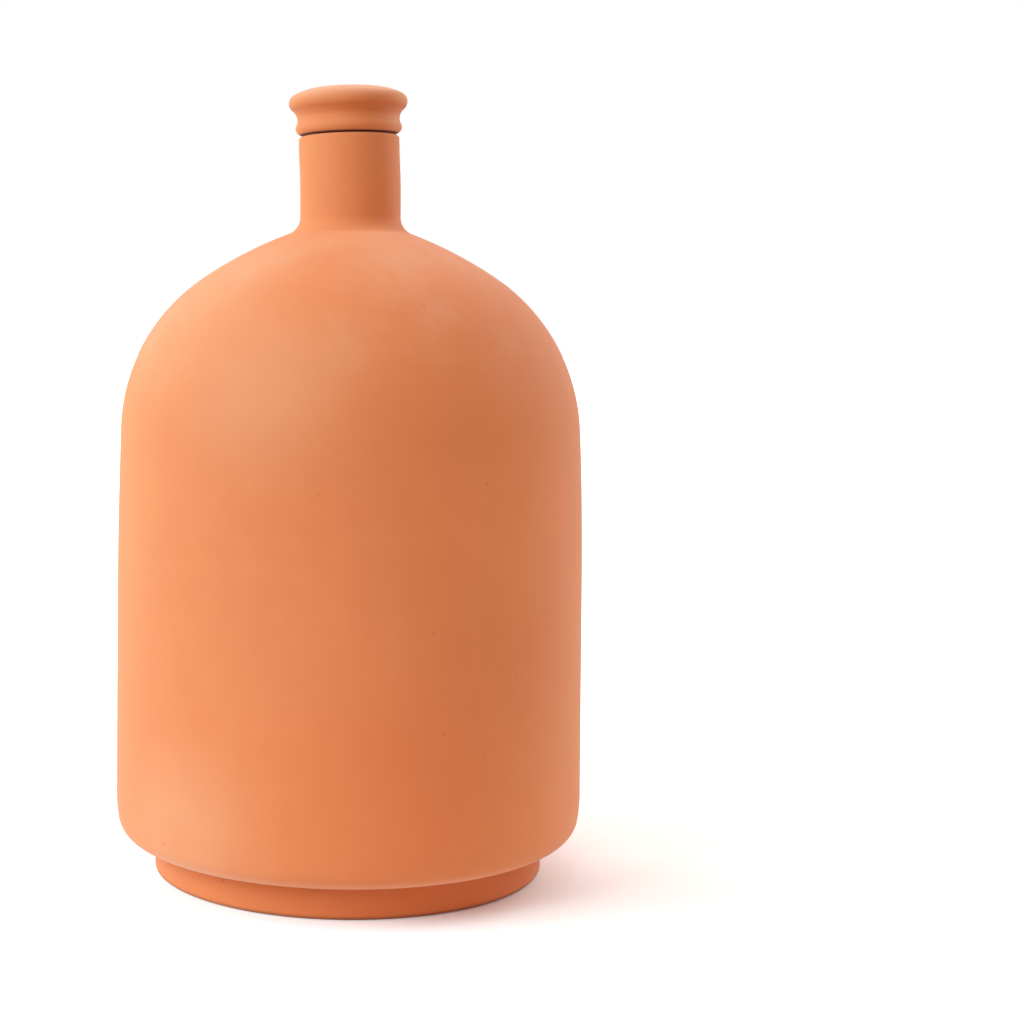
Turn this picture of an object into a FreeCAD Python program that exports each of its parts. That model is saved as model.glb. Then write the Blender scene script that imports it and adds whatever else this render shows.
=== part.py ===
import FreeCAD, Part
import math
import os
import re
import Sketcher
from FreeCAD import Vector

# An irrigation olla: an unglazed terracotta bottle that is filled with water, closed with
# its stopper and set in the soil, where the water seeps out through the wall. Millimetres
# and degrees. +Z is the bottle's axis, and its foot stands on Z = 0 around the origin.
sizes = {
    # Foot: a low disc, set in from the wall, with a shallow recess that leaves a ring to stand on.
    "foot_inset": 8.3,
    "foot_height": 7.4,
    "foot_ring": 6.0,
    "foot_edge": 0.7,
    "foot_root": 0.5,
    "recess_depth": 1.5,
    "recess_edge": 0.7,
    # Body: a tight bottom corner that eases into an almost straight wall.
    "corner_radius": 4.9,
    "belly_radius": 32.0,
    "belly_angle": 9.4,
    "body_radius": 50.0,
    "wall_lean": 0.3,
    # Top: the wall eases into a round shoulder, with a flatter crown up to the neck.
    "flank_radius": 940.0,
    "flank_angle": 2.1,
    "shoulder_radius": 40.4,
    "shoulder_angle": 53.2,
    "crown_radius": 86.0,
    # Neck and rim.
    "neck_flare": 3.9,
    "neck_radius": 10.7,
    "neck_length": 17.1,
    "rim_height": 156.6,
    "rim_edge": 0.8,
    # Inside: the clay follows the outside, and its floor curves up past the foot into the wall.
    "clay": 4.5,
    "floor_clay": 5.5,
    "throat_curve": 8.0,
    "bore_radius": 7.3,
    "mouth_edge": 0.7,
    # Plug: the stopper's slightly tapered lower end, with play in the bore.
    "plug_play": 0.4,
    "plug_length": 14.0,
    "plug_taper": 2.0,
    "plug_edge": 1.5,
    # Stopper: a low seat on the rim keeps a thin gap under the bead, then a groove and the cap.
    "seat_radius": 8.6,
    "seat_gap": 0.4,
    "bead_radius": 11.3,
    "bead_round": 1.3,
    "groove_round": 2.6,
    "cap_radius": 12.6,
    "cap_round": 1.9,
    "cap_level": 6.65,
    "cap_shoulder": 12.7,
    "cap_crown": 148.0,
    "cap_height": 9.85,
}


# Sketcher's own numbers for the two ends and the centre of a line or arc.
def start(index):
    return index, 1


def end(index):
    return index, 2


def centre(index):
    return index, 3


def ray(angle):
    return Vector(math.cos(math.radians(angle)), math.sin(math.radians(angle)), 0)


def bearing(a, b):
    return math.degrees(math.atan2(b.y - a.y, b.x - a.x))


# The point on the left of the way from a to b that lies reachA from a and reachB from b.
def apex(a, reachA, b, reachB):
    base = (b - a).Length
    along = (reachA ** 2 - reachB ** 2 + base ** 2) / (2 * base)
    rise = math.sqrt(reachA ** 2 - along ** 2)
    heading = bearing(a, b)
    return a + ray(heading) * along + ray(heading + 90) * rise


# The half section of a turned piece, in the XZ plane: X is the radius and Y is the height.
# It is drawn as a walk with the clay on the left. Each run or arc starts where the last one
# ended and is tangent to it, unless it turns a corner first. An arc with a negative turn
# bends to the right.
class Section:
    def __init__(self, body, height):
        self.sketch = body.newObject("Sketcher::SketchObject", "Section")
        plane = next(item for item in body.Origin.OriginFeatures if item.Role == "XZ_Plane")
        self.sketch.AttachmentSupport = [(plane, "")]
        self.sketch.MapMode = "FlatFace"
        self.place = Vector(0, height, 0)
        self.heading = 0
        self.last = None

    def join(self, entry, leave, corner):
        if self.last is not None:
            self.rule("Coincident" if corner else "Tangent", *self.last, *entry)
        self.last = leave
        return entry[0]

    def run(self, length, corner=0):
        self.heading += corner
        target = self.place + ray(self.heading) * length
        index = self.sketch.addGeometry(Part.LineSegment(self.place, target))
        self.place = target
        return self.join(start(index), end(index), corner)

    def arc(self, radius, turn, corner=0):
        self.heading += corner
        side = math.copysign(90, turn)
        middle = self.place + ray(self.heading + side) * radius
        before = math.radians(self.heading - side)
        after = before + math.radians(turn)
        circle = Part.Circle(middle, Vector(0, 0, 1), radius)
        curve = Part.ArcOfCircle(circle, min(before, after), max(before, after))
        index = self.sketch.addGeometry(curve)
        self.place = middle + ray(math.degrees(after)) * radius
        self.heading += turn
        ends = (start(index), end(index)) if turn > 0 else (end(index), start(index))
        return self.join(*ends, corner)

    def close(self):
        self.rule("Coincident", *self.last, *start(0))

    def rule(self, kind, *places):
        self.sketch.addConstraint(Sketcher.Constraint(kind, *places))

    # Ties one measure of the section to the sheet, as a cell or a sum of cells.
    def tie(self, kind, places, value, cells):
        index = self.sketch.addConstraint(Sketcher.Constraint(kind, *places, value))
        formula = re.sub("[a-z_]+", r"Dimensions.\g<0>", cells)
        self.sketch.setExpression(f"Constraints[{index}]", formula)

    def radius(self, index, cells):
        self.tie("Radius", (index,), self.sketch.Geometry[index].Radius, cells)

    def turn(self, index, cells):
        curve = self.sketch.Geometry[index]
        self.tie("Angle", (index,), curve.LastParameter - curve.FirstParameter, cells)

    def slope(self, index, cells):
        line = self.sketch.Geometry[index]
        angle = bearing(line.StartPoint, line.EndPoint)
        self.tie("Angle", (index,), math.radians(angle), cells)

    def length(self, index, cells):
        self.tie("Distance", (index,), self.sketch.Geometry[index].length(), cells)

    # Sketcher's elements -1 and -2 are its horizontal and vertical axes.
    def across(self, place, cells):
        self.tie("DistanceX", (*start(-1), *place), self.sketch.getPoint(*place).x, cells)

    def above(self, place, cells):
        self.tie("DistanceY", (*start(-1), *place), self.sketch.getPoint(*place).y, cells)

    def onGround(self, place):
        self.rule("PointOnObject", *place, -1)

    def onAxis(self, place):
        self.rule("PointOnObject", *place, -2)

    # A construction circle around a point, for an element that keeps its distance from it.
    def guard(self, place, radius, cells):
        circle = Part.Circle(self.sketch.getPoint(*place), Vector(0, 0, 1), radius)
        index = self.sketch.addGeometry(circle, True)
        self.rule("Coincident", *centre(index), *place)
        self.radius(index, cells)
        return index


def makeSheet(document):
    sheet = document.addObject("Spreadsheet::Sheet", "Dimensions")
    for row, (name, value) in enumerate(sizes.items(), start=1):
        sheet.set(f"A{row}", name)
        sheet.set(f"B{row}", str(value))
        sheet.setAlias(f"B{row}", name)
    document.recompute()
    return sheet


def makeBody(document, label):
    body = document.addObject("PartDesign::Body", label.capitalize())
    body.Label = label
    return body


def spin(body, section):
    turned = body.newObject("PartDesign::Revolution", "Turned")
    turned.Profile = section.sketch
    turned.ReferenceAxis = (section.sketch, ["V_Axis"])
    turned.Angle = 360
    body.Document.recompute()
    return turned


# Rounds the circular edges at the given (radius, height) places of the piece so far.
def roundRings(body, name, places, cell):
    base = body.Tip
    edges = []
    for number, edge in enumerate(base.Shape.Edges, start=1):
        if edge.Degenerated or not isinstance(edge.Curve, Part.Circle):
            continue
        found = (edge.Curve.Radius, edge.Curve.Center.z)
        if any(math.dist(found, place) < 1e-4 for place in places):
            edges.append(f"Edge{number}")
    if len(edges) != len(places):
        raise RuntimeError(f"{name} finds {len(edges)} of {len(places)} edges")
    fillet = body.newObject("PartDesign::Fillet", name)
    fillet.Base = (base, edges)
    fillet.setExpression("Radius", f"Dimensions.{cell}")
    body.Document.recompute()


def drawVessel(body, d):
    section = Section(body, d.recess_depth)
    leaning = 90 + d.wall_lean
    cornerHeading = leaning - d.belly_angle
    cornerReach = d.corner_radius * math.sin(math.radians(cornerHeading))
    bellyReach = d.belly_radius * (ray(leaning).y - ray(cornerHeading).y)
    overhang = d.foot_inset - cornerReach - bellyReach
    footRadius = d.body_radius - d.foot_inset

    # Outside, from the middle of the recess to the rim.
    recess = section.run(footRadius - d.foot_ring)
    section.rule("Horizontal", recess)
    section.onAxis(start(recess))
    section.above(start(recess), "recess_depth")
    recessWall = section.run(d.recess_depth, corner=-90)
    section.rule("Vertical", recessWall)
    rest = section.run(d.foot_ring, corner=90)
    section.onGround(start(rest))
    section.rule("Horizontal", rest)
    section.across(start(rest), "body_radius - foot_inset - foot_ring")
    foot = section.run(d.foot_height, corner=90)
    section.rule("Vertical", foot)
    section.across(start(foot), "body_radius - foot_inset")
    section.above(end(foot), "foot_height")
    underside = section.run(overhang, corner=-90)
    section.rule("Horizontal", underside)
    corner = section.arc(d.corner_radius, cornerHeading)
    section.radius(corner, "corner_radius")
    belly = section.arc(d.belly_radius, d.belly_angle)
    section.radius(belly, "belly_radius")
    section.turn(belly, "belly_angle")

    # The wall is as long as leaves the neck its own length below the rim.
    flankSlope = d.wall_lean + d.flank_angle
    shoulderSlope = flankSlope + d.shoulder_angle
    lowCentre = section.place - ray(d.wall_lean) * d.flank_radius
    lowCentre += ray(flankSlope) * (d.flank_radius - d.shoulder_radius)
    lowCentre += ray(shoulderSlope) * (d.shoulder_radius - d.crown_radius)
    flareCentre = Vector(d.neck_radius + d.neck_flare, d.rim_height - d.neck_length, 0)
    toFlare = flareCentre - lowCentre
    along = toFlare.dot(ray(leaning))
    aside = toFlare.dot(ray(d.wall_lean))
    wallLength = along - math.sqrt((d.crown_radius + d.neck_flare) ** 2 - aside ** 2)
    crownCentre = lowCentre + ray(leaning) * wallLength
    neckSlope = bearing(crownCentre, flareCentre)
    wall = section.run(wallLength)
    section.slope(wall, "90 + wall_lean")
    section.across(start(wall), "body_radius")
    flank = section.arc(d.flank_radius, d.flank_angle)
    section.radius(flank, "flank_radius")
    section.turn(flank, "flank_angle")
    shoulder = section.arc(d.shoulder_radius, d.shoulder_angle)
    section.radius(shoulder, "shoulder_radius")
    section.turn(shoulder, "shoulder_angle")
    crown = section.arc(d.crown_radius, neckSlope - shoulderSlope)
    section.radius(crown, "crown_radius")
    flare = section.arc(d.neck_flare, -neckSlope)
    section.radius(flare, "neck_flare")
    neck = section.run(d.neck_length)
    section.rule("Vertical", neck)
    section.length(neck, "neck_length")
    section.across(end(neck), "neck_radius")
    section.above(end(neck), "rim_height")
    rim = section.run(d.neck_radius - d.bore_radius, corner=90)
    section.rule("Horizontal", rim)

    # Inside, from the mouth down to the floor, at the clay's thickness from the outside.
    throatCentre = d.bore_radius + d.throat_curve - crownCentre.x
    throatReach = d.crown_radius - d.clay + d.throat_curve
    throatSlope = math.degrees(math.acos(throatCentre / throatReach))
    throatHeight = crownCentre.y + throatReach * math.sin(math.radians(throatSlope))
    bore = section.run(d.rim_height - throatHeight, corner=90)
    section.rule("Vertical", bore)
    section.across(start(bore), "bore_radius")
    throat = section.arc(d.throat_curve, throatSlope)
    section.radius(throat, "throat_curve")
    ceiling = section.arc(d.crown_radius - d.clay, shoulderSlope - throatSlope)
    section.radius(ceiling, "crown_radius - clay")
    innerShoulder = section.arc(d.shoulder_radius - d.clay, -d.shoulder_angle)
    section.radius(innerShoulder, "shoulder_radius - clay")
    section.turn(innerShoulder, "shoulder_angle")
    section.rule("Coincident", *centre(innerShoulder), *centre(shoulder))
    innerFlank = section.arc(d.flank_radius - d.clay, -d.flank_angle)
    section.radius(innerFlank, "flank_radius - clay")
    section.turn(innerFlank, "flank_angle")

    # The floor's curve leaves the clay's thickness around the inner corner above the foot.
    floorHeight = d.recess_depth + d.floor_clay
    inward = footRadius - section.place.x
    upward = d.foot_height - floorHeight
    spare = upward + d.clay - inward
    floorCurve = spare + math.sqrt(spare ** 2 - inward ** 2 - upward ** 2 + d.clay ** 2)
    curveTop = floorHeight + floorCurve * (1 + ray(d.wall_lean).y)
    innerWall = section.run((section.place.y - curveTop) / ray(d.wall_lean).x)
    section.rule("Parallel", innerWall, wall)
    curve = section.arc(floorCurve, -leaning)
    section.rule("Tangent", curve, section.guard(end(foot), d.clay, "clay"))
    floor = section.run(section.place.x)
    section.rule("Horizontal", floor)
    middle = section.run(d.floor_clay, corner=90)
    section.onAxis(start(middle))
    section.above(start(middle), "recess_depth + floor_clay")
    section.close()
    return section


def drawStopper(body, d):
    section = Section(body, d.rim_height - d.plug_length)
    plugRadius = d.bore_radius - d.plug_play
    tipRadius = plugRadius - d.plug_length * math.tan(math.radians(d.plug_taper))
    beadHeight = d.rim_height + d.seat_gap
    beadCentre = Vector(d.bead_radius - d.bead_round, beadHeight + d.bead_round, 0)
    capCentre = Vector(d.cap_radius - d.cap_round, beadHeight + d.cap_level, 0)

    # Plug and seat.
    tip = section.run(tipRadius)
    section.rule("Horizontal", tip)
    section.onAxis(start(tip))
    section.above(start(tip), "rim_height - plug_length")
    plug = section.run(math.hypot(d.plug_length, plugRadius - tipRadius), corner=90 - d.plug_taper)
    section.slope(plug, "90 - plug_taper")
    section.across(end(plug), "bore_radius - plug_play")
    section.above(end(plug), "rim_height")
    seat = section.run(d.seat_radius - plugRadius, corner=d.plug_taper - 90)
    section.rule("Horizontal", seat)
    section.across(end(seat), "seat_radius")
    seatWall = section.run(d.seat_gap, corner=90)
    section.rule("Vertical", seatWall)
    section.above(end(seatWall), "rim_height + seat_gap")
    underside = section.run(beadCentre.x - d.seat_radius, corner=-90)
    section.rule("Horizontal", underside)

    # Bead and groove, up to the underside of the cap.
    fromCap = d.cap_round + d.groove_round
    fromBead = d.bead_round + d.groove_round
    grooveCentre = apex(capCentre, fromCap, beadCentre, fromBead)
    bead = section.arc(d.bead_round, 90 + bearing(beadCentre, grooveCentre))
    section.radius(bead, "bead_round")
    section.across(centre(bead), "bead_radius - bead_round")
    groove = section.arc(d.groove_round, bearing(grooveCentre, capCentre) - 90 - section.heading)
    section.radius(groove, "groove_round")

    # Cap: a round edge, a softer shoulder and a slightly domed top.
    top = Vector(0, beadHeight + d.cap_height, 0)
    domeCentre = top - Vector(0, d.cap_crown, 0)
    fromDome = d.cap_crown - d.cap_shoulder
    fromEdge = d.cap_shoulder - d.cap_round
    softCentre = apex(domeCentre, fromDome, capCentre, fromEdge)
    edge = section.arc(d.cap_round, bearing(softCentre, capCentre) + 90 - section.heading)
    section.radius(edge, "cap_round")
    section.across(centre(edge), "cap_radius - cap_round")
    section.above(centre(edge), "rim_height + seat_gap + cap_level")
    soft = section.arc(d.cap_shoulder, bearing(domeCentre, softCentre) + 90 - section.heading)
    section.radius(soft, "cap_shoulder")
    dome = section.arc(d.cap_crown, 180 - section.heading)
    section.radius(dome, "cap_crown")
    section.onAxis(centre(dome))
    middle = section.run(d.plug_length + d.seat_gap + d.cap_height, corner=90)
    section.onAxis(start(middle))
    section.above(start(middle), "rim_height + seat_gap + cap_height")
    section.close()
    return section


def makeVessel(document, d):
    body = makeBody(document, "vessel")
    spin(body, drawVessel(body, d))
    footRadius = d.body_radius - d.foot_inset
    recessRadius = footRadius - d.foot_ring
    roundRings(body, "FootEdges", [(footRadius, 0), (recessRadius, 0)], "foot_edge")
    roundRings(body, "FootRoot", [(footRadius, d.foot_height)], "foot_root")
    roundRings(body, "RecessEdge", [(recessRadius, d.recess_depth)], "recess_edge")
    roundRings(body, "RimEdge", [(d.neck_radius, d.rim_height)], "rim_edge")
    roundRings(body, "MouthEdge", [(d.bore_radius, d.rim_height)], "mouth_edge")
    return body


def makeStopper(document, d):
    body = makeBody(document, "stopper")
    spin(body, drawStopper(body, d))
    tipRadius = d.bore_radius - d.plug_play - d.plug_length * math.tan(math.radians(d.plug_taper))
    roundRings(body, "PlugEdge", [(tipRadius, d.rim_height - d.plug_length)], "plug_edge")
    return body


def check(document, pieces):
    document.recompute()
    for item in document.Objects:
        if "Invalid" in item.State or "Error" in item.State:
            raise RuntimeError(f"{item.Label} failed: {item.State}")
    for piece in pieces:
        if piece.Shape.isNull() or not piece.Shape.isValid() or len(piece.Shape.Solids) != 1:
            raise RuntimeError(f"{piece.Label} is not one valid solid")


def main():
    document = FreeCAD.newDocument("IrrigationOlla")
    dimensions = makeSheet(document)
    pieces = [makeVessel(document, dimensions), makeStopper(document, dimensions)]
    check(document, pieces)
    os.makedirs("parts", exist_ok=True)
    for piece in pieces:
        piece.Shape.exportStep(f"parts/{piece.Label}.step")
        box = piece.Shape.optimalBoundingBox()
        print(f"{piece.Label}: {piece.Shape.Volume / 1000:.1f} cm3,",
              f"{box.XLength:.1f} x {box.YLength:.1f} x {box.ZMin:.1f} to {box.ZMax:.1f} mm")


main()
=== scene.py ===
import math

import bmesh
import bpy
from mathutils import Euler, Matrix, Vector


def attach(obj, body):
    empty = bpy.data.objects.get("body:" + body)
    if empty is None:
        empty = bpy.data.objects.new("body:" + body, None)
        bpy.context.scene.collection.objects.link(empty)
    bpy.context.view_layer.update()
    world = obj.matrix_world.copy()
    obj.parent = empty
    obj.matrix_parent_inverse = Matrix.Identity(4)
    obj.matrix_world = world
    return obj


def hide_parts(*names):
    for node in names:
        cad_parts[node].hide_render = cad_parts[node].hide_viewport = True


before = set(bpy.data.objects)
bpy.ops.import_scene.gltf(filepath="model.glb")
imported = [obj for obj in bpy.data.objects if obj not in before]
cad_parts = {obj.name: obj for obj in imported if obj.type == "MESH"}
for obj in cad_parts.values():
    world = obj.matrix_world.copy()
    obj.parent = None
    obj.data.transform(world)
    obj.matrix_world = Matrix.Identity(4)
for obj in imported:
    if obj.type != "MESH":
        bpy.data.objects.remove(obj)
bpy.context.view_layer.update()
scene = bpy.context.scene
print("frame loaded:", ", ".join(sorted(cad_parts)))


# Shapes: each piece is turned from a half section, in millimetres and degrees.

millimetre = 0.001
weld = 0.005  # points nearer than this become one
outward, upward, inward, downward = 0, 90, 180, 270  # headings, seen with the axis on the left
halfTurn = 180


def ray(angle):
    return Vector((math.cos(math.radians(angle)), 0, math.sin(math.radians(angle))))


# A half section, walked with the clay on its left. Each stretch is told its number of steps.
class Walk:
    def __init__(self, radius, height):
        self.mesh = bmesh.new()
        self.tip = bmesh.ops.create_vert(self.mesh, co=(radius, 0, height))["vert"][0]
        self.heading = outward

    def face(self, heading):  # round a sharp corner
        self.heading = heading
        return self

    def run(self, length, steps):
        for _ in range(steps):
            grown = bmesh.ops.extrude_vert_indiv(self.mesh, verts=[self.tip])
            self.tip = grown["verts"][0]
            bmesh.ops.translate(self.mesh, verts=[self.tip], vec=ray(self.heading) * length / steps)
        return self

    def toRadius(self, radius, steps):
        return self.run((radius - self.tip.co.x) / ray(self.heading).x, steps)

    def toHeight(self, height, steps):
        return self.run((height - self.tip.co.z) / ray(self.heading).z, steps)

    def arc(self, radius, heading, steps):  # bends the shorter way to the new heading
        turn = (heading - self.heading + halfTurn) % (2 * halfTurn) - halfTurn
        side = math.copysign(90, turn)
        grown = bmesh.ops.spin(
            self.mesh,
            geom=[self.tip],
            cent=self.tip.co + ray(self.heading + side) * radius,
            axis=(0, -1, 0),
            angle=math.radians(turn),
            steps=steps,
        )
        self.tip = next(item for item in grown["geom_last"] if isinstance(item, bmesh.types.BMVert))
        return self.face(heading)

    def dome(self, steps):  # closes the top with an arc that is level on the axis
        return self.arc(self.tip.co.x / ray(self.heading).z, inward, steps)


# The bottle dried slightly out of true: it leans to the left from the shoulder up, and the rim most.
slide = {"low": 80, "high": 120, "width": 0.2}
leans = [{"low": 143, "high": 153, "angle": 1.55}, {"low": 80, "high": 105, "angle": 0.25}]


def eased(height, span):  # 0 below the span and 1 above it
    share = min(max((height - span["low"]) / (span["high"] - span["low"]), 0), 1)
    return share * share * (3 - 2 * share)


def leanOver(mesh):
    for point in mesh.verts:
        point.co.x -= slide["width"] * eased(point.co.z, slide)
        for span in leans:
            base = Vector((0, 0, span["low"]))
            angle = math.radians(span["angle"]) * eased(point.co.z, span)
            point.co = base + Matrix.Rotation(-angle, 3, "Y") @ (point.co - base)


def turned(node, walk, look):
    mesh = walk.mesh
    bmesh.ops.spin(
        mesh,
        geom=mesh.verts[:] + mesh.edges[:],
        cent=(0, 0, 0),
        axis=(0, 0, 1),
        angle=math.tau,
        steps=look["slices"],
        use_merge=True,
    )
    bmesh.ops.remove_doubles(mesh, verts=mesh.verts[:], dist=weld)
    bmesh.ops.recalc_face_normals(mesh, faces=mesh.faces[:])
    leanOver(mesh)
    bmesh.ops.scale(mesh, verts=mesh.verts[:], vec=(millimetre, millimetre, millimetre))
    for face in mesh.faces:
        face.smooth = True
    data = bpy.data.meshes.new(node + "_body")
    mesh.to_mesh(data)
    mesh.free()
    data.materials.append(terracotta(node + "_clay", look))
    piece = bpy.data.objects.new(node + "_body", data)
    scene.collection.objects.link(piece)
    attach(piece, "root")
    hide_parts(node)
    print(f"{piece.name}: {len(data.polygons)} faces")


# Materials: node sheets that are written as sums.

def rgb(red, green, blue):  # a colour as the screen shows it, 0 to 255, through the screen's own curve
    parts = [part / 255 for part in (red, green, blue)]
    return (*[part / 12.92 if part < 0.04 else ((part + 0.055) / 1.055) ** 2.4 for part in parts], 1)


class Wire:  # the value of one socket
    def __init__(self, sheet, socket):
        self.sheet = sheet
        self.socket = socket

    def join(self, operation, a, b):
        return self.sheet.add("Math", {"operation": operation}, {0: a, 1: b})

    def __add__(self, other):
        return self.join("ADD", self, other)

    def __mul__(self, other):
        return self.join("MULTIPLY", self, other)

    def __sub__(self, other):
        return self.join("SUBTRACT", self, other)

    def __rsub__(self, other):
        return self.join("SUBTRACT", other, self)

    __radd__ = __add__
    __rmul__ = __mul__


class Sheet:  # the nodes of a material or a world
    def __init__(self, owner):
        owner.use_nodes = True
        self.tree = owner.node_tree
        self.tree.nodes.clear()

    def add(self, kind, settings=None, inputs=None, output=0):
        node = self.tree.nodes.new("ShaderNode" + kind)
        for name, value in (settings or {}).items():
            setattr(node, name, value)
        for name, value in (inputs or {}).items():
            if isinstance(value, Wire):
                self.tree.links.new(value.socket, node.inputs[name])
            else:
                node.inputs[name].default_value = value
        return Wire(self, node.outputs[output]) if len(node.outputs) else node

    def axis(self, place, name):
        return self.add("SeparateXYZ", None, {0: place}, name)

    def measure(self, operation, *places):  # one number from one place or two
        return self.add("VectorMath", {"operation": operation}, dict(enumerate(places)), "Value")

    def noise(self, place, look):
        inputs = {"Scale": look["scale"], "Detail": look["detail"], "Roughness": look["roughness"]}
        return self.add("TexNoise", None, {"Vector": place, **inputs}, "Fac")

    def ramp(self, value, low, high):  # low to high becomes 0 to 1, eased
        settings = {"interpolation_type": "SMOOTHSTEP", "clamp": True}
        return self.add("MapRange", settings, {"Value": value, "From Min": low, "From Max": high})

    def band(self, height, look):  # 1 between a lower and a higher ramp
        return self.ramp(height, *look["low"]) * (1 - self.ramp(height, *look["high"]))

    def blend(self, share, a, b):
        return self.add("Mix", {"data_type": "RGBA"}, {0: share, 6: a, 7: b}, 2)

    def cover(self, colour, pattern, look, tone):  # another tone where the pattern is strong
        return self.blend(self.ramp(pattern, *look["span"]) * look["share"], colour, tone)


def terracotta(name, look):
    material = bpy.data.materials.new(name)
    sheet = Sheet(material)
    place = sheet.add("TexCoord", output="Object")
    height = sheet.measure("DOT_PRODUCT", place, look["upright"])

    # fired clay: slow drifts of tone, a soft mottle and a fine sandy grain
    drift, mottle, grain = [sheet.noise(place, look[pattern]) for pattern in ("drift", "mottle", "grain")]
    colour = sheet.cover(look["deep"], drift, look["drift"], look["clay"])
    colour = sheet.cover(colour, mottle, look["mottle"], look["pale"])
    colour = sheet.cover(colour, grain, look["grain"], look["deep"])

    # marks of the sponge that smoothed the piece while it turned
    stretched = sheet.add("Mapping", None, {"Vector": place, "Scale": look["ringStretch"]})
    rings = sheet.noise(stretched, look["rings"])
    colour = sheet.cover(colour, rings, look["rings"], look["pale"])

    # pale efflorescence where the clay dried out, high on the piece; on the stopper this band is painted
    # sheen, the cap top made paler for the backdrop's reflection at a grazing view
    patch = sheet.noise(place, look["patch"])
    bloomAndSheen = look["bloomAndSheen"]
    share = sheet.ramp(patch, *bloomAndSheen["span"]) * sheet.band(height, bloomAndSheen) * bloomAndSheen["share"]
    colour = sheet.blend(share, colour, look["dryAndLit"])

    # clouds of another tone: pale ones where the wall dried first, the others painted highlights and
    # painted shade
    for cloud in look["clouds"]:
        apart = sheet.measure("DISTANCE", place, cloud["at"])
        share = (1 - sheet.ramp(apart, *cloud["reach"])) * (patch + look["patch"]["base"]) * cloud["share"]
        colour = sheet.blend(share, colour, cloud["colour"])

    # rings of painted shade and painted highlight, each at its own height
    for ring in look["tones"]:
        colour = sheet.blend(sheet.band(height, ring) * ring["share"], colour, ring["colour"])

    # a few small open pores, in groups
    pore = look["pores"]
    cells = sheet.add("TexVoronoi", None, {"Vector": place, "Scale": pore["scale"]}, "Distance")
    groups = sheet.ramp(sheet.noise(place, look["poreGroups"]), *look["poreGroups"]["span"])
    pores = (1 - sheet.ramp(cells, *pore["span"])) * groups
    colour = sheet.blend(pores * pore["share"], colour, pore["colour"])

    raised = mottle * look["mottle"]["height"] + rings * look["rings"]["height"]
    raised = raised + grain * look["grain"]["height"] - pores * pore["depth"]
    relief = {"Strength": look["relief"], "Distance": look["reliefDepth"], "Height": raised}
    shader = sheet.add(
        "BsdfPrincipled",
        None,
        {
            "Base Color": colour,
            "Roughness": look["roughness"] + mottle * look["mottle"]["roughen"],
            "Normal": sheet.add("Bump", None, relief),
            "Specular IOR Level": look["gloss"],
            "Diffuse Roughness": look["chalk"],
            "Sheen Weight": look["dust"],
            "Sheen Roughness": look["dustSpread"],
            "Sheen Tint": look["dustColour"],
        },
    )
    sheet.add("OutputMaterial", None, {"Surface": shader})
    return material


# The fired clay of both pieces. A scale counts per metre, a span is where a pattern sets in and
# where it is full, a share is how much of its tone then shows, and a height is its part in the relief.
# the pale tone of dried salts, also used for a painted highlight and for the stopper's painted sheen
dryAndLitTone = rgb(225, 168, 131)
fired = {
    "drift": {"scale": 16, "detail": 3, "roughness": 0.55, "span": (0.3, 0.7), "share": 1},
    "mottle": {
        "scale": 140,
        "detail": 5,
        "roughness": 0.6,
        "span": (0.35, 0.75),
        "share": 0.16,
        "height": 0.5,
        "roughen": 0.12,
    },
    "grain": {
        "scale": 1500,
        "detail": 3,
        "roughness": 0.65,
        "span": (0.45, 0.8),
        "share": 0.14,
        "height": 0.12,
    },
    "rings": {
        "scale": 1,
        "detail": 4,
        "roughness": 0.6,
        "span": (0.5, 0.8),
        "share": 0.07,
        "height": 0.25,
    },
    "patch": {"scale": 38, "detail": 4, "roughness": 0.6, "base": 0.5},
    "pores": {"scale": 260, "span": (0.05, 0.1), "share": 0.3, "depth": 1.2, "colour": rgb(160, 86, 48)},
    "poreGroups": {"scale": 96.2, "detail": 0, "roughness": 0.5, "span": (0.66, 0.7)},
    "pale": rgb(229, 148, 93),
    "dryAndLit": dryAndLitTone,
    "relief": 0.12,
    "reliefDepth": 0.0004,
    "roughness": 0.72,
    "gloss": 0.35,
    "chalk": 0.5,
    "dust": 0.2,
    "dustSpread": 0.5,
    "dustColour": rgb(255, 240, 232),
}


# The vessel.

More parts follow.
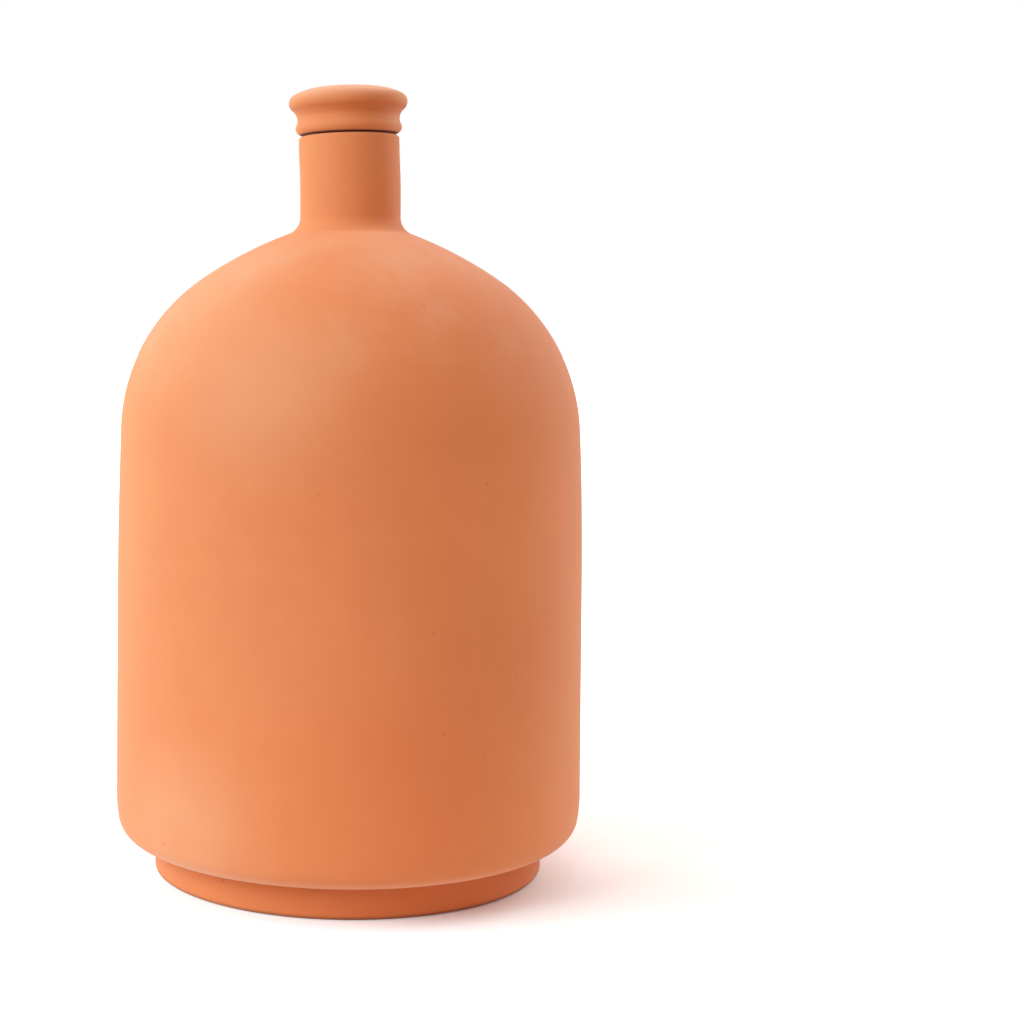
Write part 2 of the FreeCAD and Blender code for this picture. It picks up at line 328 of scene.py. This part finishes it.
vessel = {
    **fired,
    "footRadius": 41.7,
    "footHeight": 7.4,
    "footRing": 6,
    "footEdge": 0.7,
    "footRoot": 0.5,
    "recessDepth": 1.5,
    "bodyRadius": 50,
    "cornerRadius": 4.9,
    "cornerHeading": 80.9,
    "bellyRadius": 32,
    "wallHeading": 90.3,
    "wallTop": 60.275,
    "flankRadius": 940,
    "flankHeading": 92.4,
    "shoulderRadius": 40.4,
    "shoulderHeading": 145.6,
    "crownRadius": 86,
    "crownHeading": 159.307,
    "flareRadius": 3.9,
    "rimHeight": 156.6,
    "rimEdge": 0.8,
    "boreRadius": 7.3,
    "mouthEdge": 0.7,
    "throatTop": 138.803,
    "throatRadius": 8,
    "throatHeading": 338.73,
    "thickness": 4.5,
    "floorLevel": 7,
    "floorCurve": 17.654,
    "slices": 256,
    # tones, with places and heights in metres
    "upright": (0, 0, 1),
    "clay": rgb(222, 136, 79),
    "deep": rgb(218, 129, 74),
    "ringStretch": (14, 14, 520),
    "bloomAndSheen": {"low": (0.095, 0.12), "high": (0.128, 0.137), "span": (0.45, 0.68), "share": 0.32},
    "clouds": [
        {"at": (-0.0165, -0.0435, 0.104), "reach": (0.004, 0.024), "share": 0.3, "colour": dryAndLitTone},
        {"at": (-0.028, -0.018, 0.1215), "reach": (0.004, 0.026), "share": 0.34, "colour": dryAndLitTone},
        # painted highlight low on the lit left side
        {"at": (-0.033, -0.037, 0.014), "reach": (0.004, 0.026), "share": 0.26, "colour": dryAndLitTone},
        # painted shade low on the front, right of centre: deeper and darker
        {"at": (0.0094, -0.049, 0.026), "reach": (0.006, 0.034), "share": 0.6, "colour": rgb(218, 122, 64)},
        # painted highlight: a paler band on the right side, standing in for a reflected strip of light
        {"at": (0.033, -0.0375, 0.082), "reach": (0.006, 0.034), "share": 0.4, "colour": rgb(236, 150, 88)},
    ],
    "tones": [
        # painted shade and warm bounce light on the foot, a painted contact shadow along its edge on the
        # floor, and a painted highlight along the body's lower edge
        {"low": (-0.002, -0.001), "high": (0.0066, 0.0076), "colour": rgb(222, 126, 68), "share": 0.9},
        {"low": (-0.002, -0.001), "high": (0.0002, 0.0011), "colour": rgb(140, 70, 42), "share": 0.7},
        {"low": (0.0072, 0.0076), "high": (0.008, 0.0098), "colour": rgb(240, 174, 140), "share": 0.32},
    ],
}


def vesselSection(size):
    edge = size["footEdge"]
    root = size["footRoot"]
    cornerRise = ray(size["cornerHeading"]).z
    bellyReach = size["bellyRadius"] * (ray(size["wallHeading"]).z - cornerRise)
    cornerStart = size["bodyRadius"] - bellyReach - size["cornerRadius"] * cornerRise

    # recess, foot and the body's lower corner
    walk = Walk(0, size["recessDepth"])
    walk.toRadius(size["footRadius"] - size["footRing"] - edge, 20)
    walk.arc(edge, downward, 6).toHeight(edge, 1).arc(edge, outward, 6)
    walk.toRadius(size["footRadius"] - edge, 6).arc(edge, upward, 6)
    walk.toHeight(size["footHeight"] - root, 8).arc(root, outward, 5).toRadius(cornerStart, 4)
    walk.arc(size["cornerRadius"], size["cornerHeading"], 22)

    # wall, shoulder, crown, neck and rim
    walk.arc(size["bellyRadius"], size["wallHeading"], 6).toHeight(size["wallTop"], 34)
    walk.arc(size["flankRadius"], size["flankHeading"], 24)
    walk.arc(size["shoulderRadius"], size["shoulderHeading"], 34)
    walk.arc(size["crownRadius"], size["crownHeading"], 18).arc(size["flareRadius"], upward, 20)
    walk.toHeight(size["rimHeight"] - size["rimEdge"], 16).arc(size["rimEdge"], inward, 7)

    # mouth, bore and throat
    walk.toRadius(size["boreRadius"] + size["mouthEdge"], 3).arc(size["mouthEdge"], downward, 6)
    walk.toHeight(size["throatTop"], 10).arc(size["throatRadius"], size["throatHeading"], 12)

    # the inside, back down at the clay's thickness from the outside, and the floor
    thickness = size["thickness"]
    walk.arc(size["crownRadius"] - thickness, size["shoulderHeading"] + halfTurn, 10)
    walk.arc(size["shoulderRadius"] - thickness, size["flankHeading"] + halfTurn, 20)
    walk.arc(size["flankRadius"] - thickness, size["wallHeading"] + halfTurn, 12)
    curveTop = size["floorLevel"] + size["floorCurve"] * (1 - ray(size["wallHeading"]).x)
    return walk.toHeight(curveTop, 12).arc(size["floorCurve"], inward, 24).toRadius(0, 10)


turned("vessel", vesselSection(vessel), vessel)


# The stopper. Its plug goes down from the rim, and its head stands on the seat.

stopper = {
    **fired,
    "rimHeight": vessel["rimHeight"],
    "plugRadius": 6.9,
    "plugLength": 14,
    "plugHeading": 88,
    "plugEdge": 1.5,
    "seatRadius": 8.6,
    "seatGap": 0.4,
    "beadRadius": 11.3,
    "beadRound": 1.3,
    "beadHeading": 117.435,
    "grooveRound": 2.6,
    "grooveHeading": 37.854,
    "capRound": 1.9,
    "capHeading": 153.018,
    "capShoulder": 12.7,
    "domeHeading": 177.544,
    "slices": 192,
    # tones, with places and heights in metres
    "upright": (-0.0314, 0, 1),
    "clay": rgb(221, 135, 79),
    "deep": rgb(216, 127, 73),
    "ringStretch": (20, 20, 900),
    # painted sheen: the whole cap top paler, standing in for the white backdrop's reflection at a grazing
    # view
    "bloomAndSheen": {"low": (0.1632, 0.1655), "high": (0.18, 0.19), "span": (0.1, 0.5), "share": 0.6},
    "clouds": [
        # painted light on the right side under the cap, where light comes from behind on the right
        {
            "at": (0.0105, -0.006, 0.1605),
            "reach": (0.002, 0.01),
            "share": 0.45,
            "colour": rgb(232, 160, 112),
        },
    ],
    "tones": [
        # painted shadow in the joint over the rim, and painted shade under the edge of the cap
        {"low": (0.1555, 0.1558), "high": (0.157, 0.1572), "colour": rgb(120, 46, 18), "share": 0.85},
        {"low": (0.1602, 0.1612), "high": (0.1622, 0.1634), "colour": rgb(204, 96, 34), "share": 0.36},
    ],
}


def stopperSection(size):
    rim = size["rimHeight"]
    slope = math.radians(size["plugHeading"])
    taken = size["plugLength"] / math.tan(slope) + size["plugEdge"] * math.tan(slope / 2)

    # plug and seat
    walk = Walk(0, rim - size["plugLength"])
    walk.toRadius(size["plugRadius"] - taken, 6).arc(size["plugEdge"], size["plugHeading"], 8)
    walk.toHeight(rim, 10).face(outward).toRadius(size["seatRadius"], 3)
    walk.face(upward).toHeight(rim + size["seatGap"], 2)

    # bead, groove and cap
    walk.face(outward).toRadius(size["beadRadius"] - size["beadRound"], 4)
    walk.arc(size["beadRound"], size["beadHeading"], 20)
    walk.arc(size["grooveRound"], size["grooveHeading"], 16)
    walk.arc(size["capRound"], size["capHeading"], 20)
    return walk.arc(size["capShoulder"], size["domeHeading"], 10).dome(8)


turned("stopper", stopperSection(stopper), stopper)
print("pieces ready")


# Floor, in metres. The camera sees it glow, so it shows white; the glow is uneven, painted light that
# lightens the floor's shadow on the left, at the back and far out, and leaves it to the right of the foot.

white = (1, 1, 1, 1)
ground = {
    "size": 6,
    "drop": 0.00005,  # keeps it clear of the foot's face
    "near": (0.85, 0.85, 0.85, 1),
    "far": (0.51, 0.5, 0.48, 1),
    "fade": (0.09, 0.24),
    "glow": 0.27,
    # these glows are painted light that shapes where the floor's shadow shows
    "glows": [  # more or less glow along a way
        {"way": "right", "span": (0, 0.03), "strength": -0.25},
        {"way": "back", "span": (-0.03, 0.01), "strength": 0.19},
        {"way": "away", "span": (0.045, 0.065), "strength": 0.08},
    ],
}

mesh = bmesh.new()
bmesh.ops.create_grid(mesh, x_segments=1, y_segments=1, size=ground["size"])
bmesh.ops.translate(mesh, verts=mesh.verts[:], vec=(0, 0, -ground["drop"]))
data = bpy.data.meshes.new("floor")
mesh.to_mesh(data)
mesh.free()
floor = bpy.data.objects.new("floor", data)
scene.collection.objects.link(floor)

paper = bpy.data.materials.new("studio_paper")
sheet = Sheet(paper)
place = sheet.add("TexCoord", output="Object")
seen = sheet.add("LightPath", output="Is Camera Ray")
ways = {
    "right": sheet.axis(place, "X"),
    "back": sheet.axis(place, "Y"),
    "away": sheet.measure("LENGTH", place),
}
far = sheet.ramp(ways["away"], *ground["fade"])
glow = ground["glow"] + far
for part in ground["glows"]:
    glow = glow + part["strength"] * sheet.ramp(ways[part["way"]], *part["span"])
matte = sheet.add("BsdfDiffuse", None, {"Color": sheet.blend(far, ground["near"], ground["far"])})
shine = sheet.add("Emission", None, {"Color": white, "Strength": seen * glow})
sheet.add("OutputMaterial", None, {"Surface": sheet.add("AddShader", None, {0: matte, 1: shine})})
data.materials.append(paper)
print("floor ready")


# Light: a white backdrop that is only seen, a dim fill that only lights, and three soft lamps.

fill = {"horizon": (0.25, 0.065, 0.04, 1), "zenith": (1.2, 0.98, 0.945, 1)}
world = bpy.data.worlds.new("studio_world")
scene.world = world
sheet = Sheet(world)
rays = [sheet.add("LightPath", output=f"Is {kind} Ray") for kind in ("Camera", "Glossy", "Transmission")]
seen = rays[0] + rays[1] + rays[2]
rise = sheet.axis(sheet.add("TexCoord", output="Generated"), "Z")
tone = sheet.blend(rise, fill["horizon"], fill["zenith"])
lit, shown = [sheet.add("Background", None, {"Color": colour, "Strength": 1}) for colour in (tone, white)]
sheet.add("OutputWorld", None, {"Surface": sheet.add("MixShader", None, {0: seen, 1: lit, 2: shown})})

# azimuth is from the camera's side round to the right, and elevation above the floor
rig = {"middle": (0, 0, 0.085), "distance": 1.2, "width": 0.7}
lamps = {
    "key": {"azimuth": -60, "elevation": 25, "power": 12.9, "tint": (0.72, 0.92, 1)},
    "side": {"azimuth": -90, "elevation": 25, "power": 6, "tint": (0.45, 0.92, 1)},
    "back": {"azimuth": 120, "elevation": 25, "power": 8.1, "tint": (0.82, 1, 0.96)},
}
for name, lamp in lamps.items():
    light = bpy.data.lights.new(name, "AREA")
    light.shape = "SQUARE"
    light.size = rig["width"]
    light.energy = lamp["power"]
    light.color = lamp["tint"]
    holder = bpy.data.objects.new(name, light)
    side = math.radians(lamp["azimuth"])
    rise = math.radians(lamp["elevation"])
    toLamp = Vector((math.sin(side) * math.cos(rise), -math.cos(side) * math.cos(rise), math.sin(rise)))
    holder.location = Vector(rig["middle"]) + toLamp * rig["distance"]
    holder.rotation_euler = toLamp.to_track_quat("Z", "Y").to_euler()
    scene.collection.objects.link(holder)
print("light ready")


# Camera.

view = {
    "at": (0, -0.40692, 0.11748),
    "pitch": 86.09,
    "roll": 0.44,
    "lens": 66.71,
    "sensor": 36,
    "shift": (0.1574, -0.06),
    "nearest": 0.01,
}
camera = bpy.data.objects.new("camera", bpy.data.cameras.new("camera"))
camera.location = view["at"]
pitch = Euler((math.radians(view["pitch"]), 0, 0)).to_matrix()
roll = Matrix.Rotation(math.radians(view["roll"]), 3, "Z")
camera.rotation_euler = (pitch @ roll).to_euler()
camera.data.sensor_width = view["sensor"]
camera.data.lens = view["lens"]
camera.data.shift_x, camera.data.shift_y = view["shift"]
camera.data.clip_start = view["nearest"]
scene.collection.objects.link(camera)
scene.camera = camera
scene.view_settings.view_transform = "Standard"

print("scene ready")
